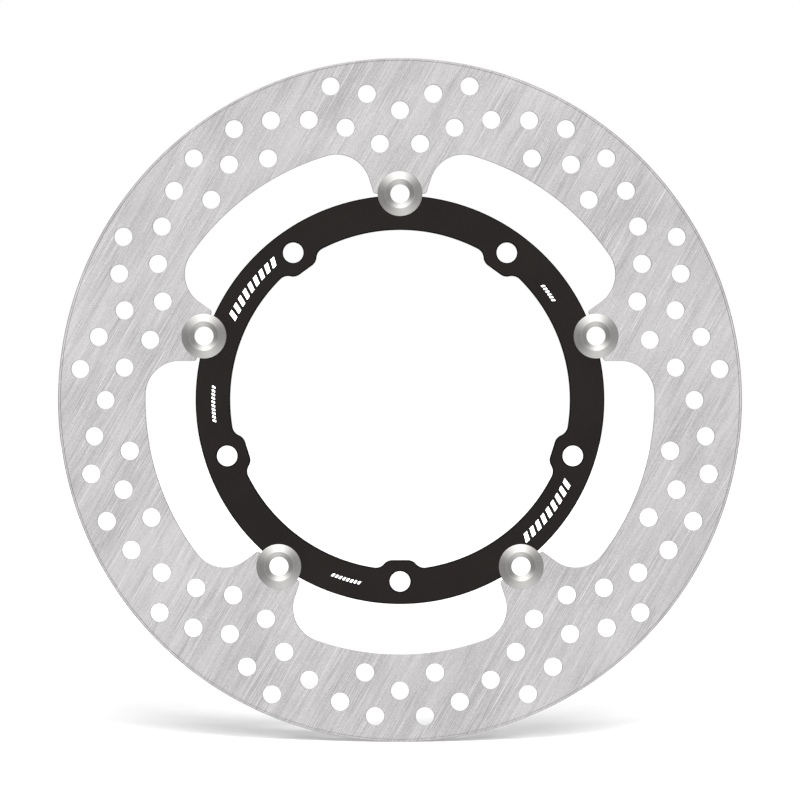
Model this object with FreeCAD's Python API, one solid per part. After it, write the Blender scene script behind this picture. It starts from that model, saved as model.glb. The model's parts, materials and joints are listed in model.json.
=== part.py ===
"""Floating brake disc for a motorcycle's front wheel, as an assembly of separate solids.

A stainless steel brake band is carried by a black aluminium carrier through five hollow drive
bobbins. Each bobbin lies half in a notch of a band lug and half in a notch of the carrier, and is
held from the hub side by a flat washer, a wave washer and a retaining ring.

Working frame of this script: the disc's axis is +Z and points to the outer side, +Y is up and the
carrier's hub face lies at Z = 0. Stations are counted clockwise from the top, seen from outside.
export() turns the result so that the disc stands upright: the hub side is +Y and up is +Z.
"""

import FreeCAD, Part
import math
import os

V = FreeCAD.Vector
AXIS = V(0, 0, 1)
ORIGIN = V(0, 0, 0)

# ---- driving dimensions, millimetres and degrees ----
STATIONS = 5
PITCH = 360.0 / STATIONS

BAND_OUTER_R = 141.0
BAND_INNER_R = 105.1
BAND_THICKNESS = 5.0
BAND_RIM_EDGE = 0.2

BOBBIN_CIRCLE_R = 85.0
BODY_R = 6.25
BODY_CLEARANCE = 0.1

LUG_HALF_WIDTH = 10.8
LUG_FLARE = 17.6
LUG_TIP_Y = 85.1
LUG_TIP_R = 1.3
WINDOW_FILLET_R = 14.0

VENT_HOLE_R = 3.8
VENT_CHAMFER = 0.15
VENTS_ON_LUG_AXIS = (119.5,)
VENTS_ON_WINDOW_AXIS = (120.0,)
# Radius and angle from the lug's axis. Each stands on both sides of the axis.
VENT_PAIRS = (
    (106.0, 4.50),
    (114.5, 11.33),
    (121.5, 18.06),
    (127.0, 24.79),
    (131.0, 31.50),
    (127.0, 6.19),
    (132.5, 12.50),
    (113.5, 28.67),
)

CARRIER_OUTER_R = 84.3
CARRIER_INNER_R = 70.1
CARRIER_THICKNESS = 6.0
CARRIER_CHAMFER = 0.4
SEAT_R = 9.5
SEAT_DEPTH = 0.58

BOLT_CIRCLE_R = 75.0
BOLT_HOLE_R = 4.25
TAB_FLAT = 66.2
TAB_HALF_WIDTH = 5.2
TAB_FLARE = 48.0
TAB_CORNER_R = 4.5
TAB_ROOT_R = 4.5

FLANGE_R = 9.25
FLANGE_RIM = 0.75
FLANGE_EDGE = 0.2
FLANGE_CONE_RISE = 0.95
MOUTH_R = 6.05
MOUTH_DEPTH = 1.7
BORE_R = 3.95

SPIGOT_R = 5.25
SHOULDER_GAP = 0.3
TAIL_LENGTH = 0.75
TAIL_CHAMFER = 0.3

FLAT_WASHER_T = 0.8
FLAT_WASHER_INNER_R = 5.35
FLAT_WASHER_OUTER_R = 9.0
WASHER_EDGE = 0.1

WAVE_COUNT = 3
WAVE_T = 0.5
WAVE_SPACE = 1.15
WAVE_GAP = 0.01
WAVE_INNER_R = 5.4
WAVE_OUTER_R = 8.5

RING_T = 1.0
RING_GROOVE_WIDTH = 1.1
RING_GROOVE_R = 4.85
RING_INNER_R = 4.9
RING_OUTER_R = 6.9
RING_OFFSET = 0.45
RING_GAP_HALF_ANGLE = 17.0
RING_EAR_R = 1.45
RING_EAR_CIRCLE_R = 6.9
RING_EAR_HOLE_R = 0.65

# ---- heights that follow from them ----
CARRIER_FRONT_Z = CARRIER_THICKNESS
SEAT_Z = SEAT_DEPTH
BAND_MID_Z = (CARRIER_FRONT_Z + SEAT_Z) / 2
BAND_BACK_Z = BAND_MID_Z - BAND_THICKNESS / 2
FLAT_WASHER_BACK_Z = SEAT_Z - FLAT_WASHER_T
RING_TOP_Z = FLAT_WASHER_BACK_Z - WAVE_SPACE
RING_BACK_Z = RING_TOP_Z - RING_T
TAIL_Z = RING_BACK_Z - TAIL_LENGTH


def at_angle(radius, clockwise, z=0.0):
    """A point at that radius and clockwise angle from the top."""
    a = math.radians(clockwise)
    return V(radius * math.sin(a), radius * math.cos(a), z)


def turned(shape, clockwise):
    """A copy of shape turned clockwise about the disc's axis."""
    copy = shape.copy()
    copy.rotate(ORIGIN, AXIS, -clockwise)
    return copy


def moved(shape, offset):
    copy = shape.copy()
    copy.translate(offset)
    return copy


def lathe(profile):
    """Solid of revolution about Z through (radius, z) points of a closed profile."""
    points = [V(r, 0, z) for r, z in profile]
    face = Part.Face(Part.makePolygon(points + points[:1]))
    return face.revolve(ORIGIN, AXIS, 360)


def disc_slab(radius, low, high, bevel):
    """A plain disc whose two rim edges are bevelled at 45 degrees."""
    return lathe(
        [
            (0, low),
            (radius - bevel, low),
            (radius, low + bevel),
            (radius, high - bevel),
            (radius - bevel, high),
            (0, high),
        ]
    )


def prism(edges, low, high):
    """The space inside a closed run of edges, from one height to another."""
    wire = Part.Wire(Part.__sortEdges__(edges))
    face = Part.Face(wire)
    face.translate(V(0, 0, low))
    return face.extrude(V(0, 0, high - low))


def arc_about(centre, start, end):
    """The shorter arc about centre from start to end."""
    towards = (start - centre).normalize() + (end - centre).normalize()
    middle = centre + towards.normalize() * (start - centre).Length
    return Part.Arc(start, middle, end).toShape()


def line(start, end):
    return Part.LineSegment(start, end).toShape()


def mirrored(point):
    return V(-point.x, point.y, point.z)


def hole_tool(radius, low, high, chamfer):
    """What a drill and a countersink take out of a plate between two heights."""
    over = 1.0
    return lathe(
        [
            (0, low - over),
            (radius + chamfer + over, low - over),
            (radius, low + chamfer),
            (radius, high - chamfer),
            (radius + chamfer + over, high + over),
            (0, high + over),
        ]
    )


def flank_to_circle(foot, flare, fillet_r, circle_r):
    """A straight flank from foot, leaning out by flare, and the fillet that ends it on a circle.

    The fillet touches the circle from inside. Returns the flank's end, the fillet's centre and
    the point where it meets the circle.
    """
    along = V(math.sin(math.radians(flare)), math.cos(math.radians(flare)), 0)
    aside = V(along.y, -along.x, 0)
    start = foot + aside * fillet_r
    half_b = start.dot(along)
    c = start.dot(start) - (circle_r - fillet_r) ** 2
    length = -half_b + math.sqrt(half_b * half_b - c)
    centre = start + along * length
    return foot + along * length, centre, centre * (circle_r / centre.Length)


def corner_round(corner, flare, radius):
    """Rounds the corner between a cross edge along X and a flank leaning out by flare.

    Returns the end of the cross edge, the start of the flank and the round's centre.
    """
    reach = radius * math.tan(math.radians(90 - flare) / 2)
    on_edge = corner - V(reach, 0, 0)
    along = V(math.sin(math.radians(flare)), math.cos(math.radians(flare)), 0)
    return on_edge, corner + along * reach, on_edge + V(0, radius, 0)


def band_opening_edges():
    """Outline of the band's inner opening: five notched lugs joined by window arcs."""
    lean = math.tan(math.radians(LUG_FLARE))
    tip_corner = V(LUG_HALF_WIDTH + (LUG_TIP_Y - BOBBIN_CIRCLE_R) * lean, LUG_TIP_Y, 0)
    tip_end, flank_start, round_centre = corner_round(tip_corner, LUG_FLARE, LUG_TIP_R)
    flank_end, fillet_centre, window_start = flank_to_circle(
        tip_corner, LUG_FLARE, WINDOW_FILLET_R, BAND_INNER_R
    )
    notch_r = BODY_R + BODY_CLEARANCE
    notch_rise = LUG_TIP_Y - BOBBIN_CIRCLE_R
    notch_end = V(math.sqrt(notch_r**2 - notch_rise**2), LUG_TIP_Y, 0)
    notch_top = V(0, BOBBIN_CIRCLE_R + notch_r, 0)
    right_half = [
        line(notch_end, tip_end),
        arc_about(round_centre, tip_end, flank_start),
        line(flank_start, flank_end),
        arc_about(fillet_centre, flank_end, window_start),
    ]
    left_half = [edge.mirror(ORIGIN, V(1, 0, 0)) for edge in right_half]
    notch = Part.Arc(mirrored(notch_end), notch_top, notch_end).toShape()
    window_middle = at_angle(BAND_INNER_R, PITCH / 2)
    next_lug = turned(Part.Vertex(mirrored(window_start)), PITCH).Point
    window = Part.Arc(window_start, window_middle, next_lug).toShape()
    one_lug = left_half + [notch] + right_half + [window]
    return [turned(edge, PITCH * k) for k in range(STATIONS) for edge in one_lug]


def vent_places():
    """Centres of all the vent holes."""
    for k in range(STATIONS):
        lug = PITCH * k
        for radius in VENTS_ON_LUG_AXIS:
            yield at_angle(radius, lug)
        for radius in VENTS_ON_WINDOW_AXIS:
            yield at_angle(radius, lug + PITCH / 2)
        for radius, angle in VENT_PAIRS:
            yield at_angle(radius, lug + angle)
            yield at_angle(radius, lug - angle)


def brake_band():
    low = BAND_BACK_Z
    high = BAND_BACK_Z + BAND_THICKNESS
    slab = disc_slab(BAND_OUTER_R, low, high, BAND_RIM_EDGE)
    opening = prism(band_opening_edges(), low - 1, high + 1)
    drill = hole_tool(VENT_HOLE_R, low, high, VENT_CHAMFER)
    return slab.cut([opening] + [moved(drill, place) for place in vent_places()])


def carrier_opening_edges():
    """Outline of the carrier's inner opening: a circle with a tab at each hub bolt."""
    corner = V(TAB_HALF_WIDTH, TAB_FLAT, 0)
    lean = 90 - TAB_FLARE
    flat_end, flank_start, round_centre = corner_round(corner, lean, TAB_CORNER_R)
    flank_end, fillet_centre, circle_start = flank_to_circle(
        corner, lean, TAB_ROOT_R, CARRIER_INNER_R
    )
    right_half = [
        arc_about(round_centre, flat_end, flank_start),
        line(flank_start, flank_end),
        arc_about(fillet_centre, flank_end, circle_start),
    ]
    left_half = [edge.mirror(ORIGIN, V(1, 0, 0)) for edge in right_half]
    flat = line(mirrored(flat_end), flat_end)
    next_tab = turned(Part.Vertex(mirrored(circle_start)), PITCH).Point
    between = Part.Arc(circle_start, at_angle(CARRIER_INNER_R, PITCH / 2), next_tab).toShape()
    one_tab = left_half + [flat] + right_half + [between]
    return [turned(edge, PITCH * (k + 0.5)) for k in range(STATIONS) for edge in one_tab]


def carrier():
    slab = disc_slab(CARRIER_OUTER_R, 0, CARRIER_THICKNESS, CARRIER_CHAMFER)
    opening = prism(carrier_opening_edges(), -1, CARRIER_THICKNESS + 1)
    drill = hole_tool(BOLT_HOLE_R, 0, CARRIER_THICKNESS, CARRIER_CHAMFER)
    notch = Part.makeCylinder(BODY_R + BODY_CLEARANCE, CARRIER_THICKNESS + 2, V(0, 0, -1))
    seat = Part.makeCylinder(SEAT_R, SEAT_DEPTH + 1, V(0, 0, -1))
    tools = [opening]
    for k in range(STATIONS):
        tools.append(moved(drill, at_angle(BOLT_CIRCLE_R, PITCH * (k + 0.5))))
        tools.append(moved(notch, at_angle(BOBBIN_CIRCLE_R, PITCH * k)))
        tools.append(moved(seat, at_angle(BOBBIN_CIRCLE_R, PITCH * k)))
    return slab.cut(tools)


def drive_bobbin():
    """Hollow pin with a coned flange, a body, a spigot and a groove for the retaining ring."""
    under = CARRIER_FRONT_Z
    rim = under + FLANGE_RIM
    crown = rim + FLANGE_CONE_RISE
    shoulder = SEAT_Z + SHOULDER_GAP
    groove_top = RING_BACK_Z + RING_GROOVE_WIDTH
    return lathe(
        [
            (BORE_R, TAIL_Z),
            (SPIGOT_R - TAIL_CHAMFER, TAIL_Z),
            (SPIGOT_R, TAIL_Z + TAIL_CHAMFER),
            (SPIGOT_R, RING_BACK_Z),
            (RING_GROOVE_R, RING_BACK_Z),
            (RING_GROOVE_R, groove_top),
            (SPIGOT_R, groove_top),
            (SPIGOT_R, shoulder),
            (BODY_R, shoulder),
            (BODY_R, under),
            (FLANGE_R - FLANGE_EDGE, under),
            (FLANGE_R, under + FLANGE_EDGE),
            (FLANGE_R, rim - FLANGE_EDGE),
            (FLANGE_R - FLANGE_EDGE, rim),
            (MOUTH_R, crown),
            (BORE_R, crown - MOUTH_DEPTH),
        ]
    )


def flat_washer():
    low, high = FLAT_WASHER_BACK_Z, SEAT_Z
    inner, outer = FLAT_WASHER_INNER_R, FLAT_WASHER_OUTER_R
    return lathe(
        [
            (inner, low),
            (outer - WASHER_EDGE, low),
            (outer, low + WASHER_EDGE),
            (outer, high - WASHER_EDGE),
            (outer - WASHER_EDGE, high),
            (inner, high),
        ]
    )


def wave_curve(radius, middle_z):
    """A closed wavy circle."""
    swing = (WAVE_SPACE - WAVE_T) / 2 - WAVE_GAP
    steps = 16 * WAVE_COUNT
    points = []
    for k in range(steps):
        a = 360.0 * k / steps
        points.append(at_angle(radius, a, middle_z + swing * math.cos(math.radians(WAVE_COUNT * a))))
    curve = Part.BSplineCurve()
    curve.interpolate(Points=points, PeriodicFlag=True)
    return curve.toShape()


def wave_washer():
    """A thin spring washer with three waves, between the flat washer and the ring."""
    middle = (FLAT_WASHER_BACK_Z + RING_TOP_Z) / 2
    inner_low = wave_curve(WAVE_INNER_R, middle - WAVE_T / 2)
    inner_high = wave_curve(WAVE_INNER_R, middle + WAVE_T / 2)
    outer_low = wave_curve(WAVE_OUTER_R, middle - WAVE_T / 2)
    outer_high = wave_curve(WAVE_OUTER_R, middle + WAVE_T / 2)
    faces = [
        Part.makeRuledSurface(inner_low, outer_low),
        Part.makeRuledSurface(outer_low, outer_high),
        Part.makeRuledSurface(outer_high, inner_high),
        Part.makeRuledSurface(inner_high, inner_low),
    ]
    shell = Part.Shell(faces)
    shell.sewShape()
    solid = Part.Solid(shell)
    if solid.Volume < 0:
        solid.reverse()
    return solid


def outer_meeting(centre_a, radius_a, centre_b, radius_b):
    """Of the two points where two circles cross, the one on the right of the line from a to b."""
    between = centre_b - centre_a
    gap = between.Length
    along = (radius_a**2 - radius_b**2 + gap**2) / (2 * gap)
    aside = math.sqrt(radius_a**2 - along**2)
    direction = between * (1 / gap)
    return centre_a + direction * along + V(direction.y, -direction.x, 0) * aside


def retaining_ring():
    """An external retaining ring, thicker opposite its gap, with two eared ends."""
    gap_corner = at_angle(RING_INNER_R, RING_GAP_HALF_ANGLE)
    lean = math.degrees(math.asin(RING_EAR_R / RING_EAR_CIRCLE_R))
    ear = at_angle(RING_EAR_CIRCLE_R, RING_GAP_HALF_ANGLE + lean)
    ear_start = at_angle(RING_EAR_CIRCLE_R * math.cos(math.radians(lean)), RING_GAP_HALF_ANGLE)
    ear_far = ear * (1 + RING_EAR_R / ear.Length)
    hoop = V(0, -RING_OFFSET, 0)
    ear_end = outer_meeting(hoop, RING_OUTER_R, ear, RING_EAR_R)
    right_half = [
        line(gap_corner, ear_start),
        Part.Arc(ear_start, ear_far, ear_end).toShape(),
    ]
    left_half = [edge.mirror(ORIGIN, V(1, 0, 0)) for edge in right_half]
    lowest_outside = hoop - V(0, RING_OUTER_R, 0)
    lowest_inside = V(0, -RING_INNER_R, 0)
    hoops = [
        Part.Arc(ear_end, lowest_outside, mirrored(ear_end)).toShape(),
        Part.Arc(gap_corner, lowest_inside, mirrored(gap_corner)).toShape(),
    ]
    ring = prism(right_half + left_half + hoops, RING_BACK_Z, RING_TOP_Z)
    ear_hole = Part.makeCylinder(RING_EAR_HOLE_R, RING_T + 2, V(0, 0, RING_BACK_Z - 1))
    return ring.cut([moved(ear_hole, ear), moved(ear_hole, mirrored(ear))])


def single_solid(shape, name):
    """Checks that the shape is one valid closed solid and returns it alone."""
    solids = shape.Solids
    if len(solids) != 1 or not solids[0].isValid() or solids[0].Volume <= 0:
        raise ValueError(f"{name}: {len(solids)} solids, valid {shape.isValid()}")
    return solids[0]


def export(name, shape):
    solid = single_solid(shape, name)
    solid.rotate(ORIGIN, V(1, 0, 0), 90)
    solid.exportStep(f"parts/{name}.step")
    box = solid.BoundBox
    print(f"{name}: {solid.Volume:.1f} mm3, {box.XLength:.2f} x {box.YLength:.2f} x {box.ZLength:.2f}")


def main():
    os.makedirs("parts", exist_ok=True)
    export("brake_band", brake_band())
    export("carrier", carrier())
    station_parts = {
        "drive_bobbin": drive_bobbin(),
        "flat_washer": flat_washer(),
        "wave_washer": wave_washer(),
        "retaining_ring": retaining_ring(),
    }
    for name, shape in station_parts.items():
        for k in range(STATIONS):
            placed = turned(moved(shape, V(0, BOBBIN_CIRCLE_R, 0)), PITCH * k)
            export(f"{name}_{k + 1}", placed)


main()
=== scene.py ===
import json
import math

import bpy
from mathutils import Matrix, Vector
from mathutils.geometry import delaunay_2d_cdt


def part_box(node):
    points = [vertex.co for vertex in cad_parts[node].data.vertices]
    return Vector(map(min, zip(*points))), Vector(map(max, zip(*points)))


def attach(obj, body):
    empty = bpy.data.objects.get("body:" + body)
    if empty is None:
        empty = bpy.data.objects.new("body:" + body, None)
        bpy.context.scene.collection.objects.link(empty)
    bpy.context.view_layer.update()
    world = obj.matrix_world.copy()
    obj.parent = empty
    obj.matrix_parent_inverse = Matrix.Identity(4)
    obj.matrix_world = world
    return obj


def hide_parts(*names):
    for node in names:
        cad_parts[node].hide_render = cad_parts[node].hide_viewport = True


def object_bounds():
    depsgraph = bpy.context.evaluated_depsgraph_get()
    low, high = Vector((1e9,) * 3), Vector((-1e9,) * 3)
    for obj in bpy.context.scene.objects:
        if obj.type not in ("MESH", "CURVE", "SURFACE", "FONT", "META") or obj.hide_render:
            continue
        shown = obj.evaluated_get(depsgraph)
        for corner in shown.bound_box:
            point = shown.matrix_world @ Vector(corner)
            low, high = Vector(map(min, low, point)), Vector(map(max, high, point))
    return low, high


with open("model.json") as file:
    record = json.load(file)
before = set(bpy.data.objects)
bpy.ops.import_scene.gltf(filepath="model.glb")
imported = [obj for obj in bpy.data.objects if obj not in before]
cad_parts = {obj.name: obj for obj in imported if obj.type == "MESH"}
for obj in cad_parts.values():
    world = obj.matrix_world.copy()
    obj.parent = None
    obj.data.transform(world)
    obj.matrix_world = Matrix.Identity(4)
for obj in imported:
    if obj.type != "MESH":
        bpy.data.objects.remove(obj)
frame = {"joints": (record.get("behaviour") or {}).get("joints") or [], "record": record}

# Looks of a floating motorcycle brake disc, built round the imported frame.
#
# Shapes are worked out in the disc's own frame, in millimetres: x right, y up, z towards the outer
# side, z = 0 on the carrier's hub face. to_row() turns that into the row frame, in metres. Angles
# are counted clockwise from the top, seen from the outer side.

cad_low, cad_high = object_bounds()

MM = 0.001
STATIONS = 5
PITCH = 360.0 / STATIONS
CENTRE = Vector((0, 0))


# ---- sizes read from the frame ----


def heights(node):
    """A node's back and front heights in the disc's frame."""
    low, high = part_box(node)
    return -high.y / MM, -low.y / MM


def radius_of(node):
    """How far a node reaches to the right of the middle. Station 1's pieces stand at the top."""
    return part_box(node)[1].x / MM


BAND_BACK, BAND_FRONT = heights("brake_band")
BAND_R = radius_of("brake_band")
CARRIER_BACK, CARRIER_FRONT = heights("carrier")
CARRIER_R = radius_of("carrier")
BOBBIN_BACK, BOBBIN_FRONT = heights("drive_bobbin_1")
FLANGE_R = radius_of("drive_bobbin_1")
FLAT_BACK, FLAT_FRONT = heights("flat_washer_1")
FLAT_OUTER_R = radius_of("flat_washer_1")
WAVE_BACK, WAVE_FRONT = heights("wave_washer_1")
WAVE_OUTER_R = radius_of("wave_washer_1")
RING_BACK, RING_FRONT = heights("retaining_ring_1")

hub_bolts = next(m for m in frame["record"]["mounts"] if m["name"] == "hub_bolts")
BOLT_CIRCLE_R = hub_bolts["dims"]["pcd_mm"] / 2
BOLT_HOLE_R = hub_bolts["dims"]["hole_r_mm"]
first_spin = next(j for j in frame["joints"] if j["name"] == "bobbin_1_spin")
BOBBIN_CIRCLE_R = first_spin["pos_m"][2] / MM

# ---- sizes of the band ----

# A lug's half width is taken at the bobbins' centres, and its flanks lean out from its axis by the
# flare. Its flat tip stands LUG_TIP_Y from the disc's axis.
BAND_INNER_R = 105.1
NOTCH_R = 6.35
LUG_HALF_WIDTH = 10.8
LUG_FLARE = 17.6
LUG_TIP_Y = 85.1
LUG_TIP_R = 1.3
WINDOW_FILLET_R = 14.0
EDGE_BREAK = 0.15

# A fine groove is turned in each face near the rim, and the strip outside it lies a little low.
RIM_MARGIN = 1.4
RIM_GROOVE_INSET = 1.0
RIM_GROOVE_HALF_WIDTH = 0.08
RIM_GROOVE_DEPTH = 0.16
RIM_STRIP_DROP = 0.02
RIM_BEVEL_WIDTH = 0.22
RIM_BEVEL_DROP = 0.2

VENT_HOLE_R = 3.8
VENTS_ON_LUG_AXIS = (119.5,)
VENTS_ON_WINDOW_AXIS = (120.0,)
# Radius and angle from the lug's axis. Each stands on both sides of the axis.
VENT_PAIRS = (
    (106.0, 4.50),
    (114.5, 11.33),
    (121.5, 18.06),
    (127.0, 24.79),
    (131.0, 31.50),
    (127.0, 6.19),
    (132.5, 12.50),
    (113.5, 28.67),
)

# ---- sizes of the carrier ----

CARRIER_INNER_R = 70.1
CARRIER_BEVEL = 0.4
CARRIER_BEVEL_SOFTNESS = 0.06
CARRIER_MARGIN = 0.7
SEAT_R = 9.5
SEAT_Z = FLAT_FRONT
# A tab's flat stands TAB_FLAT from the disc's axis, and its flanks lean off the flat by the flare.
TAB_FLAT = 66.2
TAB_HALF_WIDTH = 5.2
TAB_FLARE = 48.0
TAB_CORNER_R = 4.5
TAB_ROOT_R = 4.5

# Plain printed marks in place of lettering: start and end angle, mean radius, height, bar count.
MARKS = (
    (295.5, 318.5, 77.0, 3.4, 9),
    (115.5, 138.5, 77.0, 3.4, 9),
    (51.0, 57.5, 75.4, 1.3, 6),
    (263.0, 274.5, 77.0, 1.3, 10),
    (192.0, 201.5, 77.3, 1.3, 8),
)
MARK_FILL = 0.55
MARK_LEAN = 0.5
MARK_BELOW = 0.02
MARK_RISE = 0.015

# ---- sizes of the bobbins and what holds them ----

# The body fills the notches up to a shoulder, and the spigot behind it carries washers and ring.
BODY_R = 6.25
SPIGOT_R = 5.25
BORE_R = 3.95
MOUTH_R = 6.05
MOUTH_DEPTH = 1.7
CROWN_DROP = 0.26
CROWN_RISE = 0.18
FLANGE_EDGE = 0.6
SHOULDER_RISE = 0.3
END_BEVEL = 0.3
GROOVE_R = 4.85
GROOVE_WIDTH = 1.1

FLAT_INNER_R = 5.35
WAVE_INNER_R = 5.4
WAVE_T = 0.5
WAVE_COUNT = 3

RING_INNER_R = 4.9
RING_OUTER_R = 6.9
RING_OFFSET = 0.45
RING_GAP = 17.0
RING_EDGE_R = 0.1
RING_MARGIN = 0.22
EAR_R = 1.45
EAR_CIRCLE_R = 6.9
EAR_HOLE_R = 0.65

# ---- the disc's frame ----


def to_row(x, y, z):
    return Vector((x * MM, -z * MM, y * MM))


def at_angle(radius, clockwise):
    a = math.radians(clockwise)
    return Vector((radius * math.sin(a), radius * math.cos(a)))


def turned(v, clockwise):
    """A plane vector turned clockwise about the disc's axis."""
    c, s = math.cos(math.radians(clockwise)), math.sin(math.radians(clockwise))
    return Vector((v.x * c + v.y * s, v.y * c - v.x * s))


def mirrored(v):
    return Vector((-v.x, v.y))


# ---- outlines: lists of (point, left normal). The material lies on the left of the walk. ----
# A sharp corner's point is given twice, once with the normal of each side.

ARC_STEP = 4.0
CHORD = 1.6
# Points nearer than this are one point, and normals whose dot product is higher are one normal.
SAME = 1e-4
SMOOTH_DOT = 0.98


def straight(start, end):
    along = (end - start).normalized()
    side = Vector((-along.y, along.x))
    return [(start, side), (end, side)]


def arc(centre, start, end, clockwise=False):
    """Points along an arc. No step is longer than CHORD or turns by more than ARC_STEP degrees."""
    a, b = start - centre, end - centre
    first = math.atan2(a.y, a.x)
    sweep = (math.atan2(b.y, b.x) - first) % math.tau
    if clockwise:
        sweep -= math.tau
    steps = max(2, math.ceil(abs(sweep) / min(math.radians(ARC_STEP), CHORD / a.length)))
    made = []
    for k in range(steps + 1):
        angle = first + sweep * k / steps
        out = Vector((math.cos(angle), math.sin(angle)))
        made.append((centre + out * a.length, out if clockwise else -out))
    return made


def circle(centre, radius, steps, hole=False):
    made = []
    for k in range(steps):
        angle = math.tau * k / steps * (-1 if hole else 1)
        out = Vector((math.cos(angle), math.sin(angle)))
        made.append((centre + out * radius, out if hole else -out))
    return made


def turned_run(run, clockwise):
    return [(turned(p, clockwise), turned(n, clockwise)) for p, n in run]


def mirrored_run(run):
    """The mirror image about the y axis, walked the other way, so that it keeps its left side."""
    return [(mirrored(p), mirrored(n)) for p, n in reversed(run)]


def joined(runs):
    """One closed outline from runs that meet end to end, without the points that repeat."""

    def repeats(a, b):
        return (a[0] - b[0]).length < SAME and a[1].dot(b[1]) > SMOOTH_DOT

    made = []
    for sample in (s for run in runs for s in run):
        if not made or not repeats(sample, made[-1]):
            made.append(sample)
    while repeats(made[0], made[-1]):
        made.pop()
    return made


def distinct(points):
    """The points without those that stand where the one before does."""
    made = []
    for point in points:
        if not made or (point - made[-1]).length > SAME:
            made.append(point)
    return made


def flank_to_circle(foot, flare, fillet_r, circle_r):
    """End of a flank that leans out by flare, its fillet's centre, and where it meets a circle."""
    along = at_angle(1, flare)
    start = foot + Vector((along.y, -along.x)) * fillet_r
    half_b = start.dot(along)
    length = math.sqrt(half_b**2 - start.dot(start) + (circle_r - fillet_r) ** 2) - half_b
    centre = start + along * length
    return foot + along * length, centre, centre * (circle_r / centre.length)


def corner_round(corner, flare, radius):
    """End of the cross edge, start of the flank and centre of the round between the two."""
    reach = radius * math.tan(math.radians(90 - flare) / 2)
    on_edge = corner - Vector((reach, 0))
    return on_edge, corner + at_angle(reach, flare), on_edge + Vector((0, radius))


def band_opening():
    """The band's inner outline, walked clockwise: five notched lugs joined by window arcs."""
    lean = math.tan(math.radians(LUG_FLARE))
    corner = Vector((LUG_HALF_WIDTH + (LUG_TIP_Y - BOBBIN_CIRCLE_R) * lean, LUG_TIP_Y))
    tip_end, flank_start, round_centre = corner_round(corner, LUG_FLARE, LUG_TIP_R)
    flank_end, fillet_centre, window_start = flank_to_circle(
        corner, LUG_FLARE, WINDOW_FILLET_R, BAND_INNER_R
    )
    rise = LUG_TIP_Y - BOBBIN_CIRCLE_R
    notch_end = Vector((math.sqrt(NOTCH_R**2 - rise**2), LUG_TIP_Y))
    right = [
        straight(notch_end, tip_end),
        arc(round_centre, tip_end, flank_start),
        straight(flank_start, flank_end),
        arc(fillet_centre, flank_end, window_start, clockwise=True),
    ]
    left = [mirrored_run(run) for run in reversed(right)]
    notch = arc(Vector((0, BOBBIN_CIRCLE_R)), mirrored(notch_end), notch_end, clockwise=True)
    window = arc(CENTRE, window_start, turned(mirrored(window_start), PITCH), clockwise=True)
    one_lug = left + [notch] + right + [window]
    return joined(turned_run(run, PITCH * k) for k in range(STATIONS) for run in one_lug)


def carrier_opening():
    """The carrier's inner outline, walked clockwise: a circle with a tab at each hub bolt."""
    lean = 90 - TAB_FLARE
    corner = Vector((TAB_HALF_WIDTH, TAB_FLAT))
    flat_end, flank_start, round_centre = corner_round(corner, lean, TAB_CORNER_R)
    flank_end, root_centre, circle_start = flank_to_circle(
        corner, lean, TAB_ROOT_R, CARRIER_INNER_R
    )
    right = [
        arc(round_centre, flat_end, flank_start),
        straight(flank_start, flank_end),
        arc(root_centre, flank_end, circle_start, clockwise=True),
    ]
    left = [mirrored_run(run) for run in reversed(right)]
    flat = straight(mirrored(flat_end), flat_end)
    between = arc(CENTRE, circle_start, turned(mirrored(circle_start), PITCH), clockwise=True)
    one_tab = left + [flat] + right + [between]
    return joined(turned_run(run, PITCH * (k + 0.5)) for k in range(STATIONS) for run in one_tab)


def on_rim(radius):
    """Where a circle round the top bobbin crosses the carrier's rim, on the right."""
    y = (CARRIER_R**2 + BOBBIN_CIRCLE_R**2 - radius**2) / (2 * BOBBIN_CIRCLE_R)
    return Vector((math.sqrt(CARRIER_R**2 - y**2), y))


def carrier_rims():
    """The carrier's outer outline above the bobbin seats and below, and the seats' own faces."""
    bobbin = Vector((0, BOBBIN_CIRCLE_R))
    seat_end, notch_end = on_rim(SEAT_R), on_rim(NOTCH_R)
    notched = [
        arc(CENTRE, seat_end, notch_end),
        arc(bobbin, notch_end, mirrored(notch_end), clockwise=True),
        arc(CENTRE, mirrored(notch_end), mirrored(seat_end)),
    ]
    seat = arc(bobbin, seat_end, mirrored(seat_end), clockwise=True)
    between = arc(CENTRE, mirrored(seat_end), turned(seat_end, -PITCH))
    upper, lower, crescents = [], [], []
    for k in range(STATIONS):
        station = -PITCH * k
        upper += [turned_run(run, station) for run in notched + [between]]
        lower += [turned_run(run, station) for run in (seat, between)]
        around = joined(notched) + list(reversed(seat[1:-1]))
        crescents.append([turned(p, station) for p in distinct(p for p, _ in around)])
    return joined(upper), joined(lower), crescents


# ---- edge profiles: samples of ((inset, height), normal). The material lies on the left. ----

# Most degrees that a rounded corner turns in one step.
ROUND_STEP = 22.0


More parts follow.
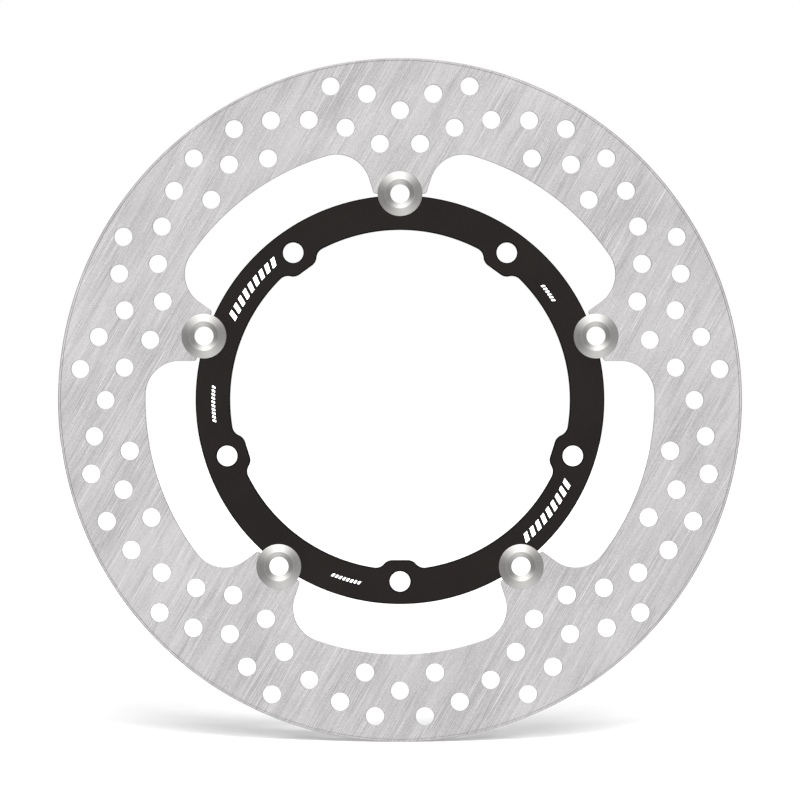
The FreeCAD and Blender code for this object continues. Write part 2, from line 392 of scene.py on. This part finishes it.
def profile(corners, loop=False):
    """Samples of a run through (inset, height, rounding radius) corners."""
    count = len(corners)
    made = []
    for k, (u, v, radius) in enumerate(corners):
        here = Vector((u, v))
        before = Vector(corners[k - 1][:2]) if loop or k else None
        after = Vector(corners[(k + 1) % count][:2]) if loop or k < count - 1 else None
        came = (here - before).normalized() if before is not None else (after - here).normalized()
        goes = (after - here).normalized() if after is not None else came
        turn = math.atan2(came.cross(goes), came.dot(goes))
        cut = radius * math.tan(abs(turn) / 2)
        steps = max(1, math.ceil(abs(math.degrees(turn)) / ROUND_STEP)) if radius else 1
        start = here - came * cut
        hub = start + Vector((-came.y, came.x)) * math.copysign(radius, turn)
        for step in range(steps + 1):
            if not radius and step and abs(turn) < SAME:
                break
            c, s = math.cos(turn * step / steps), math.sin(turn * step / steps)
            along = Vector((came.x * c - came.y * s, came.x * s + came.y * c))
            out = Vector((along.y, -along.x))
            made.append((hub + out * math.copysign(radius, turn), out))
    return made + made[:1] if loop else made


def plate_edge(low, high, radius, margin):
    """Profile of a plate's edge whose two corners are rounded, from one face to the other."""
    return profile([(margin, high, 0), (0, high, radius), (0, low, radius), (margin, low, 0)])


# ---- skins: closed meshes with a normal at every face corner ----

# The kind of output in which delaunay_2d_cdt keeps only the triangles that lie inside a ring.
INSIDE_RINGS = 1
CDT_TOLERANCE = 1e-6


class Skin:
    """Points, faces, corner normals and material numbers of one piece."""

    def __init__(self):
        self.points = []
        self.index = {}
        self.faces = []
        self.normals = []
        self.looks = []

    def corner(self, point, height):
        """The number of the point there. Faces that meet share it."""
        key = (round(point.x, 4), round(point.y, 4), round(height, 4))
        if key not in self.index:
            self.index[key] = len(self.points)
            self.points.append(to_row(point.x, point.y, height))
        return self.index[key]

    def face(self, corners, normals, look):
        """A face through (point, height) corners, wound so that it looks along its normals."""
        ids, kept = [], []
        for (point, height), normal in zip(corners, normals):
            number = self.corner(point, height)
            if number not in ids:
                ids.append(number)
                kept.append(to_row(*normal).normalized())
        if len(ids) < 3:
            return
        a, b, c = (self.points[i] for i in ids[:3])
        if (b - a).cross(c - a).dot(kept[0] + kept[1] + kept[2]) < 0:
            ids.reverse()
            kept.reverse()
        self.faces.append(ids)
        self.normals += kept
        self.looks.append(look)

    def sweep(self, outline, edge, look_of, lift=None):
        """The surface that an edge profile leaves as it follows an outline."""
        ribs = with_mitres(outline)
        for a, b in zip(ribs, ribs[1:] + ribs[:1]):
            if (a[0] - b[0]).length < SAME and (a[2] - b[2]).length < SAME:
                continue
            raised_a, raised_b = (lift(a[1]), lift(b[1])) if lift else (0, 0)
            near, far = (a, raised_a), (b, raised_b)
            for p, q in zip(edge, edge[1:]):
                if (p[0] - q[0]).length < SAME:
                    continue
                corners, normals = [], []
                for (rib, raised), sample in ((near, p), (near, q), (far, q), (far, p)):
                    corners.append((rib[0] + rib[2] * sample[0].x, sample[0].y + raised))
                    level = rib[1] * sample[1].x
                    normals.append((level.x, level.y, sample[1].y))
                self.face(corners, normals, look_of(p[0], q[0]))

    def cap(self, loops, height, facing, look):
        """A flat face inside the first loop of points and outside the others."""
        points, rings = [], []
        for loop in loops:
            ring = [len(points) + k for k in range(len(loop))]
            rings.append(ring[::-1] if rings else ring)
            points += loop
        made = delaunay_2d_cdt(points, [], rings, INSIDE_RINGS, CDT_TOLERANCE)
        corner_points, triangles, rings_of = made[0], made[2], made[5]
        for triangle, rings_round_it in zip(triangles, rings_of):
            if list(rings_round_it) == [0]:
                corners = [(corner_points[i], height) for i in triangle]
                self.face(corners, [(0, 0, facing)] * 3, look)

    def build(self, name, materials, origin=Vector((0, 0, 0))):
        mesh = bpy.data.meshes.new(name)
        mesh.from_pydata([p - origin for p in self.points], [], self.faces)
        for material in materials:
            mesh.materials.append(material)
        mesh.polygons.foreach_set("material_index", self.looks)
        mesh.polygons.foreach_set("use_smooth", [True] * len(self.faces))
        mesh.normals_split_custom_set(self.normals)
        mesh.update()
        made = bpy.data.objects.new(name, mesh)
        bpy.context.scene.collection.objects.link(made)
        made.location = origin
        return made


def with_mitres(outline):
    """Adds to each sample the vector along which the outline is inset there."""
    made = []
    count = len(outline)
    for k, (point, normal) in enumerate(outline):
        offset = normal
        for other_point, other in (outline[k - 1], outline[(k + 1) % count]):
            if (other_point - point).length < SAME and normal.dot(other) < SMOOTH_DOT:
                offset = (normal + other) / (1 + normal.dot(other))
        made.append((point, normal, offset))
    return made


def inset(outline, distance):
    """The outline's points moved into the material, each place once."""
    made = distinct(point + offset * distance for point, _, offset in with_mitres(outline))
    return made[:-1] if (made[0] - made[-1]).length < SAME else made


# ---- pieces ----

HOLE_STEPS = 40
RIM_STEPS = 480
TURNED_STEPS = 96
FACE, WALL, RIM = 0, 1, 2


def vent_places():
    for k in range(STATIONS):
        lug = PITCH * k
        for radius in VENTS_ON_LUG_AXIS:
            yield at_angle(radius, lug)
        for radius in VENTS_ON_WINDOW_AXIS:
            yield at_angle(radius, lug + PITCH / 2)
        for radius, angle in VENT_PAIRS:
            yield at_angle(radius, lug + angle)
            yield at_angle(radius, lug - angle)


def is_level(p, q):
    return abs(p.y - q.y) < SAME


def looks_on_plate(low, high, edge_look):
    """The face's look where a profile runs along a face, and the edge's look elsewhere."""

    def look_of(p, q):
        on_face = is_level(p, q) and min(abs(p.y - low), abs(p.y - high)) < SAME
        return FACE if on_face else edge_look

    return look_of


def band_rim_profile(low, high):
    """The groove near the rim and the bevel at its corner, on both faces."""
    strip, fine, soft = high - RIM_STRIP_DROP, 0.02, 0.04
    upper = [
        (RIM_MARGIN, high, 0),
        (RIM_GROOVE_INSET + RIM_GROOVE_HALF_WIDTH, high, fine),
        (RIM_GROOVE_INSET, high - RIM_GROOVE_DEPTH, fine),
        (RIM_GROOVE_INSET - RIM_GROOVE_HALF_WIDTH, strip, fine),
        (RIM_BEVEL_WIDTH, strip, soft),
        (0, high - RIM_BEVEL_DROP, soft),
    ]
    lower = [(u, low + high - v, r) for u, v, r in reversed(upper)]
    return profile(upper + lower)


def brake_band():
    skin = Skin()
    low, high = BAND_BACK, BAND_FRONT
    margin = 2 * EDGE_BREAK
    rim = circle(CENTRE, BAND_R, RIM_STEPS)
    opening = band_opening()
    edge = plate_edge(low, high, EDGE_BREAK, margin)
    vents = [circle(centre, VENT_HOLE_R, HOLE_STEPS, hole=True) for centre in vent_places()]
    inside = [opening] + vents
    # The groove, the bevels and the rim wall take the rim look, whose darker tone is painted shade.
    skin.sweep(rim, band_rim_profile(low, high), lambda p, q: FACE if is_level(p, q) else RIM)
    for outline in inside:
        skin.sweep(outline, edge, looks_on_plate(low, high, WALL))
    loops = [inset(rim, RIM_MARGIN)] + [inset(outline, margin) for outline in inside]
    skin.cap(loops, high, 1, FACE)
    skin.cap(loops, low, -1, FACE)
    return skin.build("brake_band_ground", [ground_face(), cut_wall(), turned_rim_painted_shade()])


def carrier():
    skin = Skin()
    low, high = CARRIER_BACK, CARRIER_FRONT
    bevel, soft, margin = CARRIER_BEVEL, CARRIER_BEVEL_SOFTNESS, CARRIER_MARGIN
    upper, lower, crescents = carrier_rims()
    front = [(margin, high, 0), (bevel, high, soft), (0, high - bevel, soft)]
    back = [(0, low + bevel, soft), (bevel, low, soft), (margin, low, 0)]
    look_of = looks_on_plate(low, high, WALL)
    skin.sweep(upper, profile(front + [(0, SEAT_Z, 0)]), look_of)
    skin.sweep(lower, profile([(0, SEAT_Z, 0)] + back), look_of)
    inside = [carrier_opening()]
    for k in range(STATIONS):
        bolt = at_angle(BOLT_CIRCLE_R, PITCH * (k + 0.5))
        inside.append(circle(bolt, BOLT_HOLE_R, HOLE_STEPS, hole=True))
    for outline in inside:
        skin.sweep(outline, profile(front + back), look_of)
    inner = [inset(outline, margin) for outline in inside]
    skin.cap([inset(upper, margin)] + inner, high, 1, FACE)
    skin.cap([inset(lower, margin)] + inner, low, -1, FACE)
    for crescent in crescents:
        skin.cap([crescent], SEAT_Z, -1, FACE)
    return skin.build("carrier_anodised", [black_anodised(), black_anodised_edge()])


def station_point(k):
    return at_angle(BOBBIN_CIRCLE_R, PITCH * k)


def stand_for(piece, node, k):
    """Lets a station's piece stand for its CAD node and ride on its bobbin's body."""
    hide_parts(node)
    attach(piece, f"bobbin_{k + 1}")


def turned_pieces(name, corners, material, lift=lambda out: 0):
    """Pieces of revolution about the bobbins' axes, from (radius, height, rounding) corners."""
    edge = profile(corners, loop=True)
    for k in range(STATIONS):
        node = f"{name}_{k + 1}"
        centre = station_point(k)
        ring = [(centre, out) for _, out in circle(centre, 1, TURNED_STEPS, hole=True)]
        skin = Skin()
        skin.sweep(ring, edge, lambda p, q: FACE, lambda out: lift(turned(out, -PITCH * k)))
        stand_for(skin.build(f"{node}_turned", [material], to_row(*centre, 0)), node, k)


def drive_bobbins():
    under, crown = CARRIER_FRONT, BOBBIN_FRONT
    shoulder = SEAT_Z + SHOULDER_RISE
    tail, groove_top = BOBBIN_BACK, RING_BACK + GROOVE_WIDTH
    corners = [
        (FLANGE_R, under + FLANGE_EDGE, 0.06),
        (FLANGE_R - CROWN_DROP, under + FLANGE_EDGE + CROWN_RISE, 0.06),
        (MOUTH_R, crown, 0.1),
        (BORE_R, crown - MOUTH_DEPTH, 0.08),
        (BORE_R, tail + END_BEVEL, 0.08),
        (BORE_R + END_BEVEL, tail, 0.08),
        (SPIGOT_R - END_BEVEL, tail, 0.06),
        (SPIGOT_R, tail + END_BEVEL, 0.06),
        (SPIGOT_R, RING_BACK, 0.03),
        (GROOVE_R, RING_BACK, 0.05),
        (GROOVE_R, groove_top, 0.05),
        (SPIGOT_R, groove_top, 0.03),
        (SPIGOT_R, shoulder, 0.08),
        (BODY_R, shoulder, 0.15),
        (BODY_R, under, 0.05),
        (FLANGE_R, under, 0.12),
    ]
    turned_pieces("drive_bobbin", corners, turned_stainless())


def flat_washers():
    """Washers with one sheared edge sharp and the other rolled over."""
    sharp, rolled = 0.05, 0.16
    corners = [
        (FLAT_OUTER_R, FLAT_FRONT, sharp),
        (FLAT_INNER_R, FLAT_FRONT, sharp),
        (FLAT_INNER_R, FLAT_BACK, rolled),
        (FLAT_OUTER_R, FLAT_BACK, rolled),
    ]
    turned_pieces("flat_washer", corners, plated_washer())


def wave_washers():
    middle, half = (WAVE_FRONT + WAVE_BACK) / 2, WAVE_T / 2
    swing = (WAVE_FRONT - WAVE_BACK - WAVE_T) / 2
    soft = 0.1
    corners = [
        (WAVE_OUTER_R, middle + half, soft),
        (WAVE_INNER_R, middle + half, soft),
        (WAVE_INNER_R, middle - half, soft),
        (WAVE_OUTER_R, middle - half, soft),
    ]

    def wave(out):
        return swing * math.cos(WAVE_COUNT * math.atan2(out.x, out.y))

    turned_pieces("wave_washer", corners, spring_steel(), wave)


def ring_outline():
    """A retaining ring's outline, walked anticlockwise round its outside, gap at the top."""
    lean = math.degrees(math.asin(EAR_R / EAR_CIRCLE_R))
    ear = at_angle(EAR_CIRCLE_R, RING_GAP + lean)
    gap_inner = at_angle(RING_INNER_R, RING_GAP)
    gap_outer = at_angle(EAR_CIRCLE_R * math.cos(math.radians(lean)), RING_GAP)
    hoop = Vector((0, -RING_OFFSET))
    between = ear - hoop
    along = (RING_OUTER_R**2 - EAR_R**2 + between.length_squared) / (2 * between.length)
    aside = math.sqrt(RING_OUTER_R**2 - along**2)
    ahead = between.normalized()
    ear_end = hoop + ahead * along + Vector((ahead.y, -ahead.x)) * aside
    right = [arc(ear, ear_end, gap_outer), straight(gap_outer, gap_inner)]
    left = [
        straight(mirrored(gap_inner), mirrored(gap_outer)),
        arc(mirrored(ear), mirrored(gap_outer), mirrored(ear_end)),
    ]
    bore = arc(CENTRE, gap_inner, mirrored(gap_inner), clockwise=True)
    outside = arc(hoop, mirrored(ear_end), ear_end)
    return joined(right + [bore] + left + [outside]), ear


def retaining_rings():
    outline, ear = ring_outline()
    holes = [circle(centre, EAR_HOLE_R, HOLE_STEPS, hole=True) for centre in (ear, mirrored(ear))]
    edge = plate_edge(RING_BACK, RING_FRONT, RING_EDGE_R, RING_MARGIN)
    material = phosphated_ring()
    for k in range(STATIONS):
        node = f"retaining_ring_{k + 1}"
        centre = station_point(k)
        skin = Skin()
        runs = [turned_run(run, PITCH * k) for run in [outline] + holes]
        runs = [[(p + centre, n) for p, n in run] for run in runs]
        for run in runs:
            skin.sweep(run, edge, lambda p, q: FACE)
        skin.cap([inset(run, RING_MARGIN) for run in runs], RING_FRONT, 1, FACE)
        skin.cap([inset(run, RING_MARGIN) for run in runs], RING_BACK, -1, FACE)
        stand_for(skin.build(f"{node}_stamped", [material], to_row(*centre, 0)), node, k)


def carrier_marks():
    """Rows of slanted bars printed on the carrier's outer face."""
    skin = Skin()
    low, high = CARRIER_FRONT - MARK_BELOW, CARRIER_FRONT + MARK_RISE
    for start, end, radius, height, count in MARKS:
        pitch = (end - start) / count
        slant = math.degrees(MARK_LEAN * height / radius)
        for k in range(count):
            a, b = start + pitch * k, start + pitch * (k + MARK_FILL)
            inner, outer = radius - height / 2, radius + height / 2
            corners = [
                at_angle(inner, a),
                at_angle(inner, b),
                at_angle(outer, b + slant),
                at_angle(outer, a + slant),
            ]
            outline = joined([straight(p, q) for p, q in zip(corners, corners[1:] + corners[:1])])
            skin.sweep(outline, profile([(0, high, 0), (0, low, 0)]), lambda p, q: FACE)
            skin.cap([inset(outline, 0)], high, 1, FACE)
            skin.cap([inset(outline, 0)], low, -1, FACE)
    return skin.build("carrier_marks", [white_print()])


# ---- materials ----

# Direction of the grinding lines, in degrees up from the right.
GRAIN_ANGLE = 60.0
# How much wider the coarse lathe cuts are: their cells are 1 / COARSE_CUTS of the fine rings'.
COARSE_CUTS = 0.2


class Finish:
    """A material being made: its node tree round one Principled shader."""

    def __init__(self, name, color, **values):
        self.material = bpy.data.materials.new(name)
        self.material.use_nodes = True
        self.tree = self.material.node_tree
        self.shader = self.tree.nodes["Principled BSDF"]
        self.shader.inputs["Base Color"].default_value = (*color, 1)
        for socket, value in values.items():
            self.shader.inputs[socket.replace("_", " ")].default_value = value

    def node(self, kind, inputs=(), **settings):
        made = self.tree.nodes.new("ShaderNode" + kind)
        for name, value in settings.items():
            setattr(made, name, value)
        for socket, value in dict(inputs).items():
            if isinstance(value, bpy.types.NodeSocket):
                self.tree.links.new(value, made.inputs[socket])
            else:
                made.inputs[socket].default_value = value
        return made

    def position(self):
        return self.node("TexCoord").outputs["Object"]

    def cells(self, size, angle=0.0):
        """Object coordinates counted in cells of that (along, deep, across) size in millimetres.
        The first axis runs up from the right by the angle."""
        inputs = {
            "Vector": self.position(),
            "Rotation": (0, -math.radians(angle), 0),
            "Scale": [d * MM for d in size],
        }
        return self.node("Mapping", inputs, vector_type="TEXTURE").outputs["Vector"]

    def noise(self, size, angle=0.0, detail=3.0, roughness=0.55, vector=None):
        inputs = {
            "Vector": vector or self.cells(size, angle),
            "Scale": 1.0,
            "Detail": detail,
            "Roughness": roughness,
        }
        return self.node("TexNoise", inputs).outputs["Fac"]

    def calc(self, operation, a, b=0.0, c=0.0):
        return self.node("Math", {0: a, 1: b, 2: c}, operation=operation).outputs[0]

    def between(self, value, low, high):
        """0 under low, 1 over high and smooth between."""
        inputs = {"Value": value, "From Min": low, "From Max": high}
        return self.node("MapRange", inputs, interpolation_type="SMOOTHSTEP").outputs["Result"]

    def blend(self, parts):
        """The sum of amount * (value - 0.5) over (value, amount) parts, about 0."""
        total = 0.0
        for value, amount in parts:
            centred = self.calc("SUBTRACT", value, 0.5)
            total = self.calc("MULTIPLY_ADD", centred, amount, total)
        return total

    def tint(self, dark, light, value):
        """Base colour between two colours, as value goes from -0.5 to 0.5."""
        inputs = {"Value": value, "From Min": -0.5, "From Max": 0.5}
        share = self.node("MapRange", inputs).outputs["Result"]
        mix = self.node("Mix", {0: share}, data_type="RGBA")
        mix.inputs[6].default_value = (*dark, 1)
        mix.inputs[7].default_value = (*light, 1)
        self.tree.links.new(mix.outputs[2], self.shader.inputs["Base Color"])

    def rough(self, middle, value):
        self.tree.links.new(self.calc("ADD", value, middle), self.shader.inputs["Roughness"])

    def bump(self, height, distance_mm, strength=1.0):
        inputs = {"Height": height, "Distance": distance_mm * MM, "Strength": strength}
        made = self.node("Bump", inputs)
        self.tree.links.new(made.outputs["Normal"], self.shader.inputs["Normal"])


PLAIN_TINT = (1.0, 1.0, 1.0)
STEEL_TINT = (1.02, 0.994, 1.0)
WARM_TINT = (1.014, 1.0, 0.974)


def shade(level, tint=PLAIN_TINT):
    return tuple(level * part for part in tint)


def ground_face():
    """Face ground in one direction: hairlines over soft bands, denser in some places."""
    finish = Finish("ground_stainless", shade(0.64), Metallic=1.0)

    def streaks(size, lean=0.0, detail=1):
        return finish.noise(size, GRAIN_ANGLE + lean, detail)

    hair = streaks((14, 4, 0.13))
    fine = streaks((8, 4, 0.08), 0.4)
    light = finish.between(streaks((24, 4, 0.2)), 0.6, 0.74)
    dark = finish.between(streaks((30, 4, 0.22), 0.6), 0.6, 0.74)
    gather = finish.between(streaks((36, 10, 12), detail=2), 0.32, 0.68)
    band = streaks((70, 4, 1.8))
    cloud = finish.noise((50, 40, 50), detail=1)
    grit = finish.noise((0.4, 0.4, 0.4), detail=1)
    lines = finish.blend([(hair, 0.8), (fine, 0.6), (light, 0.7), (dark, -0.4)])
    lines = finish.calc("MULTIPLY", lines, finish.calc("MULTIPLY_ADD", gather, 0.9, 0.5))
    soft = finish.blend([(band, 0.34), (cloud, 0.3), (grit, 0.6)])
    tone = finish.calc("ADD", lines, soft)
    finish.tint(shade(0.433, STEEL_TINT), shade(0.943, STEEL_TINT), tone)
    finish.rough(0.3, finish.calc("MULTIPLY", lines, 0.15))
    finish.bump(lines, 0.01)
    return finish.material


def cut_wall():
    """Walls of the holes and windows, cut straight through the plate."""
    finish = Finish("cut_stainless", shade(0.5), Metallic=1.0)
    lines = finish.noise((0.18, 4.0, 0.18))
    patches = finish.noise((3, 3, 3))
    finish.tint(shade(0.36), shade(0.62), finish.blend([(lines, 0.8), (patches, 0.4)]))
    finish.rough(0.36, finish.blend([(lines, 0.2)]))
    finish.bump(lines, 0.02)
    return finish.material


def turned_rim_painted_shade():
    """The rim, its bevels and the grooves beside it, with fine lines left by turning. Its tone is kept
    darker than the ground face as painted shade in the groove and on the bevel.
    """
    finish = Finish("turned_rim_painted_shade", shade(0.52, STEEL_TINT), Metallic=1.0)
    lines = finish.noise((30, 0.07, 30))
    patches = finish.noise((12, 12, 12))
    tone = finish.blend([(lines, 0.7), (patches, 0.4)])
    # Painted shade: this tint is darker than the ground face's, so that the groove, bevel and rim wall
    # read dark.
    finish.tint(shade(0.34, STEEL_TINT), shade(0.54, STEEL_TINT), tone)
    finish.rough(0.34, finish.blend([(lines, 0.2)]))
    finish.bump(lines, 0.008)
    return finish.material


def black_anodised():
    """Blasted aluminium under a black anodic layer, a little warm."""
    finish = Finish("black_anodised", shade(0.005), Specular_IOR_Level=0.2)
    grain = finish.noise((0.22, 0.22, 0.22), roughness=0.65)
    speck = finish.between(finish.noise((0.7, 0.7, 0.7), detail=1), 0.62, 0.75)
    cloud = finish.noise((22, 22, 22), detail=2)
    tone = finish.blend([(grain, 1.0), (cloud, 0.9), (speck, 0.2)])
    finish.tint((0.0017, 0.0012, 0.001), (0.0045, 0.0034, 0.003), tone)
    finish.rough(0.42, finish.blend([(grain, 0.22), (cloud, 0.1), (speck, -0.08)]))
    finish.bump(grain, 0.03)
    return finish.material


def black_anodised_edge():
    """Milled walls and bevels, anodised with the rest and deeper in tone."""
    finish = Finish("black_anodised_edge", shade(0.001), Specular_IOR_Level=0.04)
    lines = finish.noise((0.5, 6.0, 0.5))
    finish.tint((0.0004, 0.0002, 0.0002), (0.001, 0.0007, 0.0006), finish.blend([(lines, 0.9)]))
    finish.rough(0.4, finish.blend([(lines, 0.15)]))
    finish.bump(lines, 0.008)
    return finish.material


def turned_metal(name, dark, light, roughness, pitch_mm, tint=PLAIN_TINT):
    """Metal turned on a lathe about its own axis: fine rings, a little run-out and stain."""
    finish = Finish(name, shade((dark + light) / 2), Metallic=1.0)
    x, along, z = finish.node("SeparateXYZ", {0: finish.position()}).outputs
    squares = [finish.calc("POWER", part, 2.0) for part in (x, z)]
    radius = finish.calc("SQRT", finish.calc("ADD", *squares))
    turns = {
        0: finish.calc("DIVIDE", radius, pitch_mm * MM),
        1: finish.calc("DIVIDE", along, pitch_mm * MM),
    }
    in_pitches = finish.node("CombineXYZ", turns).outputs[0]
    shrunk = {0: in_pitches, 1: (COARSE_CUTS, COARSE_CUTS, COARSE_CUTS)}
    in_coarse_cuts = finish.node("VectorMath", shrunk, operation="MULTIPLY").outputs[0]
    rings = finish.noise(None, vector=in_pitches, detail=2)
    cuts = finish.noise(None, vector=in_coarse_cuts, detail=1)
    stain = finish.noise((4, 4, 4), detail=2)
    tone = finish.blend([(rings, 0.8), (cuts, 0.6), (stain, 0.5)])
    finish.tint(shade(dark, tint), shade(light, tint), tone)
    finish.rough(roughness, finish.blend([(rings, 0.12), (stain, 0.08)]))
    finish.bump(rings, 0.004)
    return finish.material


def turned_stainless():
    return turned_metal("turned_stainless", 0.52, 0.74, 0.2, 0.09, WARM_TINT)


def plated_washer():
    return turned_metal("plated_washer", 0.42, 0.62, 0.3, 0.25)


def spring_steel():
    return turned_metal("spring_steel", 0.28, 0.44, 0.32, 0.2)


def phosphated_ring():
    """Stamped spring steel under a dark, dull phosphate coat."""
    finish = Finish("phosphated_ring", shade(0.06), Metallic=0.7)
    grain = finish.noise((0.12, 0.12, 0.12))
    patches = finish.noise((3, 3, 3))
    finish.tint(shade(0.04), shade(0.09), finish.blend([(grain, 0.8), (patches, 0.6)]))
    finish.rough(0.42, finish.blend([(grain, 0.2)]))
    finish.bump(grain, 0.01)
    return finish.material


def white_print():
    finish = Finish("white_print", shade(0.8), Specular_IOR_Level=0.3)
    grain = finish.noise((0.12, 0.12, 0.12), detail=2)
    finish.tint(shade(0.68), shade(0.9), finish.blend([(grain, 0.8)]))
    finish.rough(0.5, finish.blend([(grain, 0.15)]))
    return finish.material


def pale_floor():
    finish = Finish("pale_floor", shade(0.9), Specular_IOR_Level=0.0)
    patches = finish.noise((400, 400, 400), detail=2)
    finish.rough(0.7, finish.blend([(patches, 0.1)]))
    return finish.material


# ---- studio ----

CAMERA_DISTANCE = 3.0
CAMERA_HEIGHT = -0.0001
CAMERA_REACH = 100.0
FRAME_WIDTH = 0.32994
SENSOR = 36.0


def camera():
    """Looks square on at the band's outer face, where the picture is FRAME_WIDTH metres wide."""
    data = bpy.data.cameras.new("camera")
    data.sensor_width = SENSOR
    data.lens = SENSOR * CAMERA_DISTANCE / FRAME_WIDTH
    data.clip_end = CAMERA_REACH
    made = bpy.data.objects.new("camera", data)
    made.location = (0, -BAND_FRONT * MM - CAMERA_DISTANCE, CAMERA_HEIGHT)
    made.rotation_euler = (math.pi / 2, 0, 0)
    bpy.context.scene.collection.objects.link(made)
    bpy.context.scene.camera = made


FLOOR_HALF_WIDTH = 20.0
FLOOR_GAP = 0.0001


def floor():
    """A large pale floor under the disc. The metal reflects the studio, not the floor."""
    half, z = FLOOR_HALF_WIDTH, cad_low.z - FLOOR_GAP
    corners = [(-half, -half, z), (half, -half, z), (half, half, z), (-half, half, z)]
    mesh = bpy.data.meshes.new("floor")
    mesh.from_pydata(corners, [], [(0, 1, 2, 3)])
    mesh.materials.append(pale_floor())
    made = bpy.data.objects.new("floor", mesh)
    made.visible_glossy = False
    bpy.context.scene.collection.objects.link(made)


KEY_ELEVATION = 15.0
KEY_TURN = 3.2
KEY_SPREAD = 22.0
KEY_STRENGTH = 11.5


def key_light():
    """A soft light from in front and above, which casts the disc's shadow behind it."""
    data = bpy.data.lights.new("key", "SUN")
    data.energy = KEY_STRENGTH
    data.angle = math.radians(KEY_SPREAD)
    made = bpy.data.objects.new("key", data)
    made.rotation_euler = (math.radians(90 - KEY_ELEVATION), 0, math.radians(KEY_TURN))
    made.visible_glossy = False
    bpy.context.scene.collection.objects.link(made)


# Matt surfaces see AMBIENT and the camera sees BACKDROP. The others are for reflections.
AMBIENT = 0.58
BACKDROP = 1.0
SIDE_LIGHT = 0.34
RIGHT_LIGHT = 0.15
FRONT_LIGHT = 1.0
# Where the light from ahead starts and is full, as the part of a direction that lies along y.
AHEAD_FROM = 0.88
AHEAD_FULL = 0.975
# Strength, power of the falloff, lean to the left in degrees and drift back to the right.
TOP_LIGHT = (1.5, 3.8, 12.4, 0.119)
LOW_LIGHT = (-0.62, 3.2, 9.0, 0.0)
# Least length to divide by.
TINY = 0.001


def studio():
    """Soft surroundings, brightest above, less so below and darkest at the sides."""
    world = bpy.data.worlds.new("studio")
    bpy.context.scene.world = world
    world.use_nodes = True
    tree = world.node_tree
    tree.nodes.clear()

    def node(kind, *inputs, **settings):
        made = tree.nodes.new("ShaderNode" + kind)
        for name, value in settings.items():
            setattr(made, name, value)
        for number, value in enumerate(inputs):
            if isinstance(value, bpy.types.NodeSocket):
                tree.links.new(value, made.inputs[number])
            else:
                made.inputs[number].default_value = value
        return made.outputs[0]

    def calc(operation, *inputs):
        return node("Math", *inputs, operation=operation)

    way = tree.nodes.new("ShaderNodeTexCoord").outputs["Generated"]
    split = tree.nodes.new("ShaderNodeSeparateXYZ")
    tree.links.new(way, split.inputs[0])
    x, y, z = split.outputs
    facing = calc("ABSOLUTE", y)

    def lobe(strength, power, lean, drift):
        """Light from above, or from below if the strength is negative."""
        lean = math.radians(lean)
        side = calc("MULTIPLY_ADD", x, math.cos(lean), calc("MULTIPLY", z, math.sin(lean)))
        side = calc("MULTIPLY_ADD", facing, -drift, side)
        rise = calc("MULTIPLY_ADD", x, -math.sin(lean), calc("MULTIPLY", z, math.cos(lean)))
        squares = calc("ADD", calc("MULTIPLY", side, side), calc("MULTIPLY", rise, rise))
        length = calc("MAXIMUM", calc("SQRT", squares), TINY)
        share = calc("DIVIDE", calc("MULTIPLY", rise, math.copysign(1, strength)), length)
        return calc("MULTIPLY", calc("POWER", calc("MAXIMUM", share, 0.0), power), abs(strength))

    right = calc("MULTIPLY", calc("MAXIMUM", x, 0.0), facing)
    around = calc("MULTIPLY_ADD", right, RIGHT_LIGHT, SIDE_LIGHT)
    around = calc("ADD", around, calc("ADD", lobe(*TOP_LIGHT), lobe(*LOW_LIGHT)))
    limits = (AHEAD_FROM, AHEAD_FULL, 0.0, 1.0)
    ahead = node("MapRange", facing, *limits, interpolation_type="SMOOTHSTEP")
    mirrored_part = calc("MULTIPLY", calc("SUBTRACT", 1.0, ahead), around)
    mirrored_part = calc("MULTIPLY_ADD", ahead, FRONT_LIGHT, mirrored_part)
    path = tree.nodes.new("ShaderNodeLightPath").outputs
    lit = calc("MULTIPLY_ADD", path["Is Glossy Ray"], calc("SUBTRACT", mirrored_part, AMBIENT), AMBIENT)
    strength = calc("MULTIPLY_ADD", path["Is Camera Ray"], calc("SUBTRACT", BACKDROP, lit), lit)
    background = tree.nodes.new("ShaderNodeBackground")
    background.inputs["Color"].default_value = (*PLAIN_TINT, 1)
    tree.links.new(strength, background.inputs["Strength"])
    output = tree.nodes.new("ShaderNodeOutputWorld")
    tree.links.new(background.outputs[0], output.inputs["Surface"])


# ---- the scene ----

camera()
studio()
key_light()
floor()
band = brake_band()
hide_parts("brake_band")
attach(band, "band")
black_ring = carrier()
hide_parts("carrier")
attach(black_ring, "carrier")
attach(carrier_marks(), "carrier")
drive_bobbins()
flat_washers()
wave_washers()
retaining_rings()
bpy.context.scene.view_settings.view_transform = "Standard"
